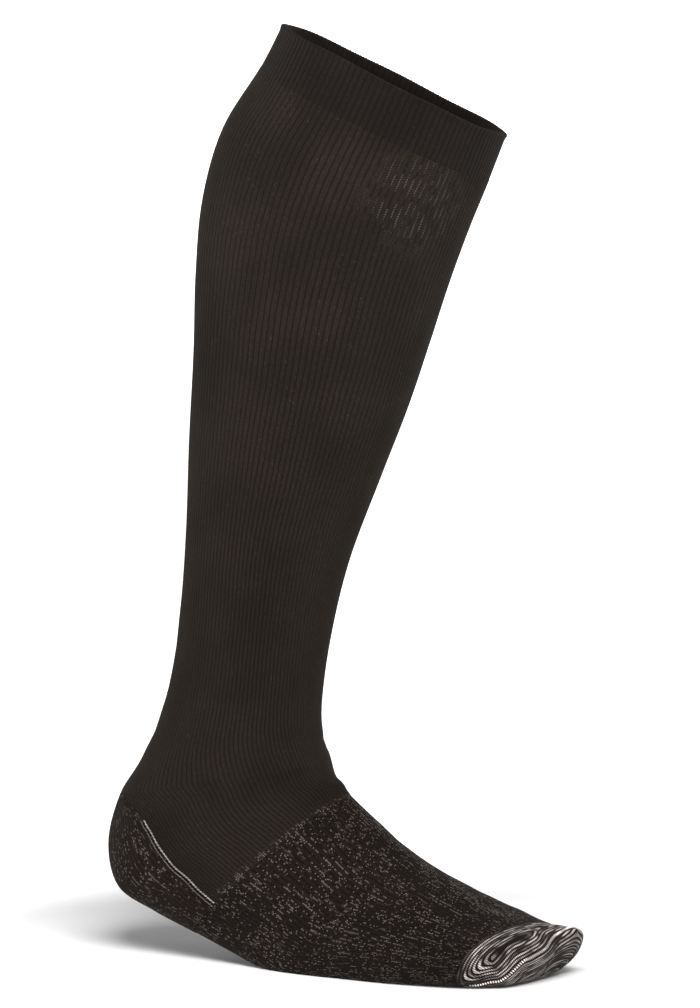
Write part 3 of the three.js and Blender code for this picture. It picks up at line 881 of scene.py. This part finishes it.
def toe_line():
    """Points of the toe seam in metres and the way out of the cap at each."""
    rows = np.array(TOE_SEAM_PATH, float)
    place = np.linspace(0, len(rows) - 1, 160)
    s, degrees, closed = (smooth_through(column, place) for column in rows.T)
    s, closed = np.minimum(s, LAST), np.clip(closed, 0, 1)[:, None]
    line = skin(s, degrees) * (1 - closed / 2) + skin(s, 180 - degrees) * closed / 2
    outward = unit(directions(np.minimum(s, LAST - 0.6), degrees)[2] * (1 - closed) + TOE_AHEAD * closed)
    return (line + outward * TOE_SWELL * np.minimum(2 * closed, 1)) * MM, outward


class STOCKING_OT_toe(StockingOperator, bpy.types.Operator):
    """Make the striped toe cap, which closes on the toe seam"""

    bl_idname = "stocking.toe"
    bl_label = "Striped Toe Cap"

    def execute(self, context):
        size = sizes()
        columns = TOE_COLUMNS
        degrees = ring_degrees(columns)
        s = np.concatenate([np.linspace(TOE_START, LAST - 1, 60), np.linspace(LAST - 1, LAST, 26)[1:]])
        flat = degrees[:-1]
        pair = np.round((180 - flat + 180) % 360 / 360 * columns).astype(int) % columns
        wall = Wall()
        outer = cloth(s[:, None], flat[None, :])
        outer = self.closing(outer, pair, 0.0007)
        inner_s = s[::6]
        inner = self.closing(cloth(inner_s[:, None], flat[None, :], 0.0, -size.cloth / MM), pair, 0.0)
        out_index, in_index = wall.add(outer, closed=True), wall.add(inner, closed=True)
        for index in (out_index, in_index):
            last = index[-1, :-1]
            last = np.minimum(last, last[pair])
            index[-1] = np.concatenate([last, last[:1]])

        seam = toe_line()[0][::4] / MM

        def knit(points, down):
            """Millimetres round, from the front, and millimetres from the cap's start or from its seam."""
            ring = np.concatenate([points, points[:, :1]], 1) / MM
            steps = np.linalg.norm(np.diff(ring, axis=1), axis=-1)
            around = np.concatenate([np.zeros((len(ring), 1)), np.cumsum(steps, axis=1)], 1)
            around -= around[:, columns // 2, None]
            return np.stack([around, soft_least(down[:, None], distance_to(ring, seam), 5.0)], -1)

        run = np.concatenate([[0], np.cumsum(np.linalg.norm(np.diff(outer, axis=0), axis=-1).mean(1))]) / MM
        outer_knit = knit(outer, run)
        inner_knit = knit(inner, np.linspace(0, run[-1], len(inner)))
        wall.join(out_index, outer_knit)
        wall.join(in_index[::-1], inner_knit[::-1])
        wall.rim(in_index[0], out_index[0], outer_knit[0])
        mesh = wall.mesh("striped_toe_cap")
        piece = show("Striped_Toe_Cap", mesh, toe_material(), "toe_stripe", "toe_cap")
        return {"FINISHED"}

    @staticmethod
    def closing(points, pair, swell):
        """Rounds the flattened end: rows that draw the upper and the lower edge together, a little ahead."""
        last, before = points[-1], points[-2]
        middle = (last + last[pair]) / 2
        ahead = unit(last - before)
        ahead = unit(ahead + ahead[pair])
        rows = [points]
        for share in (0.3, 0.6, 0.85, 1.0):
            push = swell * math.sin(share * math.pi / 2)
            rows.append((last * (1 - share) + middle * share + ahead * push)[None])
        return np.concatenate(rows)


# Two courses of the toe cap, one of space-dyed and one of black yarn, and one of its wales, in millimetres.
STRIPE_MM, TOE_WALE_MM = 1.45, 1.0


def toe_material():
    shades = colours()
    fabric = Fabric("Space-dyed Toe Knit")
    fabric.dye(paint(shades.toe_dark), 0.4)
    tree = fabric.tree
    loops = fabric.loops(STRIPE_MM / 2, 1 / TOE_WALE_MM)
    knit = split(tree, fabric.knit)
    course = calc(tree, "DIVIDE", knit["Y"], STRIPE_MM)
    row = times(tree, calc(tree, "FLOOR", course), 3.7)
    dye = clouds(tree, join(tree, times(tree, knit["X"], 0.11), row, 2.0), 1.0, 1.0)
    light = times(
        tree,
        ramp(tree, hump(tree, course), 0.5, 0.95),
        ramp(tree, dye, 0.36, 0.64, 0.05, 1.0),
        ramp(tree, lot(tree, row), 0.0, 0.8, 0.35, 1.0),
        ramp(tree, knit["Y"], 1.0, 1.6, 0.12, 1.0),
    )
    ticks = ramp(tree, loops["Wale"], 0.25, 0.85, 0.08, 1.0)
    fabric.tint(times(tree, light, ticks), paint(shades.toe_light))
    fabric.bump(calc(tree, "MULTIPLY_ADD", light, 0.5, loops["Height"]), 0.0003, 0.8)
    fabric.rough_strands()
    return fabric.finish()


def smooth_mesh(work, name):
    """A mesh with smooth faces from the shape that was worked on."""
    for face in work.faces:
        face.smooth = True
    mesh = bpy.data.meshes.new(name)
    work.to_mesh(mesh)
    work.free()
    return mesh


def linked_stitches(name, lines):
    """Lines of small raised ovals that lean across their line; the knit map holds how dim each is."""
    work = bmesh.new()
    knit = work.loops.layers.uv.new(KNIT_MAP)
    for line in lines:
        length, width, height = (value / 2 for value in line["loop"])
        for centre, forward, outward in zip(*line["places"]):
            outward = Vector(outward)
            forward = Vector(forward)
            forward = (forward + line["lean"] * outward.cross(forward)).normalized()
            sideways = outward.cross(forward).normalized()
            axes = Matrix((forward * length, sideways * width, outward * height)).transposed()
            place = Matrix.Translation(Vector(centre)) @ axes.to_4x4()
            made = bmesh.ops.create_uvsphere(work, u_segments=10, v_segments=7, radius=1.0, matrix=place)
            for face in {face for vertex in made["verts"] for face in vertex.link_faces}:
                for corner in face.loops:
                    corner[knit].uv = (line["dim"], 0.0)
    return smooth_mesh(work, name)


def spaced(line, outward, step):
    """Points at even steps along a line, with the directions along it and outwards at each."""
    runs = np.concatenate([[0], np.cumsum(np.linalg.norm(np.diff(line, axis=0), axis=1))])
    at = np.arange(step / 2, runs[-1], step)

    def pick(values, where):
        return np.stack([np.interp(where, runs, values[:, k]) for k in range(3)], 1)

    forward = unit(pick(line, at + step / 4) - pick(line, at - step / 4))
    across = pick(outward, at)
    across = across - forward * (across * forward).sum(1, keepdims=True)
    return pick(line, at), forward, unit(across)


def thread_material(name, light, dark, patch_scale):
    """Twisted thread, light and dark in turn; dimmer where the knit map says so."""
    fabric = Fabric(name, sheen=0.03, roughness=0.75)
    tree = fabric.tree
    strands = clouds(tree, fabric.place, 900.0)
    patches = clouds(tree, fabric.place, patch_scale)
    fabric.colour = blend(tree, ramp(tree, patches, 0.4, 0.6), dark, light)
    fabric.tint(ramp(tree, strands, 0.35, 0.65, 0.35, 0.0), dark)
    fabric.tint(split(tree, fabric.knit)["X"], paint(colours().groove_shade))
    fabric.bump(strands, 0.0002, 0.5)
    return fabric.finish()


# The two lines of each gore: shift to the leg's side, width and height of a loop in millimetres, and how
# much dimmer it is than the thread.
GORE_LINES = (
    (1.1, 0.80, 0.80, 0.0),
    (-1.1, 0.50, 0.50, 0.55),
)


class STOCKING_OT_gore_seams(StockingOperator, bpy.types.Operator):
    """Make the two linked lines along each gore, where the heel pocket joins the leg"""

    bl_idname = "stocking.gore_seams"
    bl_label = "Gore Seams"

    def execute(self, context):
        stitch = sizes().stitch_length
        thread = colours().seam
        material = thread_material("Linking Thread", paint(thread), shade(thread, 0.6), 500.0)
        s = np.linspace(HEEL_TOP + 0.75, FOOT_START, 200)
        for side, turn in (("outer", 1), ("inner", -1)):
            degrees = turn * (180 - pocket_degrees(s))
            outward = directions(s, degrees)[2]
            lines = []
            for shift, width, height, dim in GORE_LINES:
                places = spaced(cloth(s, degrees, 0.0, 0.75, -turn * shift), outward, stitch)
                loop = (1.2 * stitch, width * MM, height * MM)
                lines.append({"places": places, "loop": loop, "lean": 0.22 * turn, "dim": dim})
            node = f"gore_seam_{side}"
            show(f"Gore_Seam_{side.title()}", linked_stitches(node, lines), material, "seam_thread", node)
        return {"FINISHED"}


class STOCKING_OT_toe_seam(StockingOperator, bpy.types.Operator):
    """Make the raised linked line that closes the toe"""

    bl_idname = "stocking.toe_seam"
    bl_label = "Toe Seam"

    def execute(self, context):
        stitch = sizes().stitch_length
        shades = colours()
        line, outward = toe_line()
        places = spaced(line + outward * 0.25 * MM, outward, 0.72 * stitch)
        loop = (0.46 * stitch, 1.5 * MM, 0.8 * MM)
        mesh = linked_stitches("toe_seam", [{"places": places, "loop": loop, "lean": 0.2, "dim": 0.0}])
        dark, light = shade(shades.toe_light, 0.5), shade(shades.toe_light, 1.2)
        material = thread_material("Toe Linking Thread", light, dark, 150.0)
        show("Toe_Seam", mesh, material, "seam_thread", "toe_seam")
        return {"FINISHED"}


# The point that the camera looks at, and where it stands, in metres.
AIM = (-0.015, -0.017, -0.2035)
CAMERA_AT = (1.1824, -2.0909, -0.0444)
LENS_MM = 178.6
SENSOR_MM = 36.0

# Name, place and size in metres, and watts of each lamp.
LIGHTS = (
    ("Key", (1.10, -1.34, 1.62), 1.5, 100.0),
    ("Fill", (-1.6, -1.8, -0.05), 0.7, 14.0),
    ("Back", (-0.5, 2.2, 0.15), 0.9, 12.0),
)


def aimed(name, data, place):
    """A lamp or the camera, which looks at the stocking from its place."""
    item = bpy.data.objects.new(name, data)
    item.location = place
    item.rotation_euler = (Vector(AIM) - Vector(place)).to_track_quat("-Z", "Y").to_euler()
    bpy.context.scene.collection.objects.link(item)
    return item


class STOCKING_OT_stage(StockingOperator, bpy.types.Operator):
    """Make the pale floor, the soft studio light and the camera"""

    bl_idname = "stocking.stage"
    bl_label = "Stage"

    def execute(self, context):
        scene = context.scene
        floor = bpy.data.objects.new("Studio_Floor", floor_mesh(CAD_BOX[0][2] - 0.0002))
        scene.collection.objects.link(floor)
        floor.data.materials.append(floor_material())
        floor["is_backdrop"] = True

        world = bpy.data.worlds.new("Soft Studio")
        world.use_nodes = True
        sky = world.node_tree.nodes["Background"]
        fill(world.node_tree, sky, {"Color": (1.0, 1.0, 1.0, 1.0), "Strength": 0.10})
        scene.world = world
        for name, place, size, watts in LIGHTS:
            light = bpy.data.lights.new(name, "AREA")
            light.shape, light.size, light.energy = "SQUARE", size, watts
            aimed(name, light, place)

        lens = bpy.data.cameras.new("Camera")
        lens.sensor_width, lens.lens = SENSOR_MM, LENS_MM
        scene.camera = aimed("Camera", lens, CAMERA_AT)
        scene.view_settings.view_transform = "Standard"
        return {"FINISHED"}


# Distance from the middle and height of the floor, in metres: flat, with a low rim that turns up far away.
FLOOR_PROFILE = (
    (0.5, 0.0), (1.5, 0.0), (4.0, 0.0), (6.5, 0.0), (7.0, 0.08), (7.3, 0.3), (7.45, 0.8), (7.5, 1.8),
)
FLOOR_COLUMNS = 72


def floor_mesh(height):
    work = bmesh.new()
    middle = work.verts.new((0.0, 0.0, height))
    rings = []
    for radius, up in FLOOR_PROFILE:
        angles = np.arange(FLOOR_COLUMNS) * 2 * math.pi / FLOOR_COLUMNS
        ring = [work.verts.new((radius * math.cos(a), radius * math.sin(a), height + up)) for a in angles]
        rings.append(ring + ring[:1])
    for i in range(FLOOR_COLUMNS):
        work.faces.new((middle, rings[0][i], rings[0][i + 1]))
        for near, far in zip(rings, rings[1:]):
            work.faces.new((near[i], far[i], far[i + 1], near[i + 1]))
    return smooth_mesh(work, "floor")


def floor_material():
    """White paper that glows away from the stocking, so that all round it is plain white."""
    values = {"Roughness": 0.9, "Specular IOR Level": 0.1, "Emission Strength": 1.0}
    material, tree, shader = new_material("Studio Paper", values)
    place = add(tree, "ShaderNodeTexCoord").outputs["Object"]
    grain = clouds(tree, place, 260.0)
    tone = paint(colours().floor)
    tree.links.new(blend(tree, grain, shade(tone, 0.985), tone), shader.inputs["Base Color"])
    away = add(tree, "ShaderNodeVectorMath", {0: place}, operation="LENGTH").outputs["Value"]
    near, far = ramp(tree, away, 0.482, 0.53, 0.0, 0.50), ramp(tree, away, 1.0, 3.0, 0.0, 0.5)
    glow = blend(tree, calc(tree, "ADD", near, far), (0.0, 0.0, 0.0, 1.0), (1.0, 1.0, 1.0, 1.0))
    tree.links.new(glow, shader.inputs["Emission Color"])
    return material


class STOCKING_PT_panel(bpy.types.Panel):
    """Sizes, colours and pieces of the stocking"""

    bl_idname = "STOCKING_PT_panel"
    bl_label = "Compression Stocking"
    bl_space_type = "VIEW_3D"
    bl_region_type = "UI"
    bl_category = "Stocking"

    def draw(self, context):
        layout = self.layout
        for group in (context.scene.stocking_sizes, context.scene.stocking_colours):
            column = layout.column()
            for key in group.__annotations__:
                column.prop(group, key)
        for operator in OPERATORS:
            layout.operator(operator.bl_idname)


OPERATORS = (
    STOCKING_OT_stage,
    STOCKING_OT_welt,
    STOCKING_OT_leg,
    STOCKING_OT_heel,
    STOCKING_OT_foot,
    STOCKING_OT_toe,
    STOCKING_OT_gore_seams,
    STOCKING_OT_toe_seam,
)
CLASSES = (StockingSizes, StockingColours, *OPERATORS, STOCKING_PT_panel)


def register():
    for item in CLASSES:
        bpy.utils.register_class(item)
    bpy.types.Scene.stocking_sizes = PointerProperty(type=StockingSizes)
    bpy.types.Scene.stocking_colours = PointerProperty(type=StockingColours)


def unregister():
    del bpy.types.Scene.stocking_colours
    del bpy.types.Scene.stocking_sizes
    for item in reversed(CLASSES):
        bpy.utils.unregister_class(item)


def main():
    register()
    bpy.ops.stocking.stage()
    bpy.ops.stocking.welt()
    bpy.ops.stocking.leg()
    bpy.ops.stocking.heel()
    bpy.ops.stocking.foot()
    bpy.ops.stocking.toe()
    bpy.ops.stocking.gore_seams()
    bpy.ops.stocking.toe_seam()
    bpy.context.view_layer.update()
    boxes = {"cad": CAD_BOX, "visual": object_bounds()}
    boxes = {name: [list(corner) for corner in box] for name, box in boxes.items()}


if __name__ == "__main__":
    main()
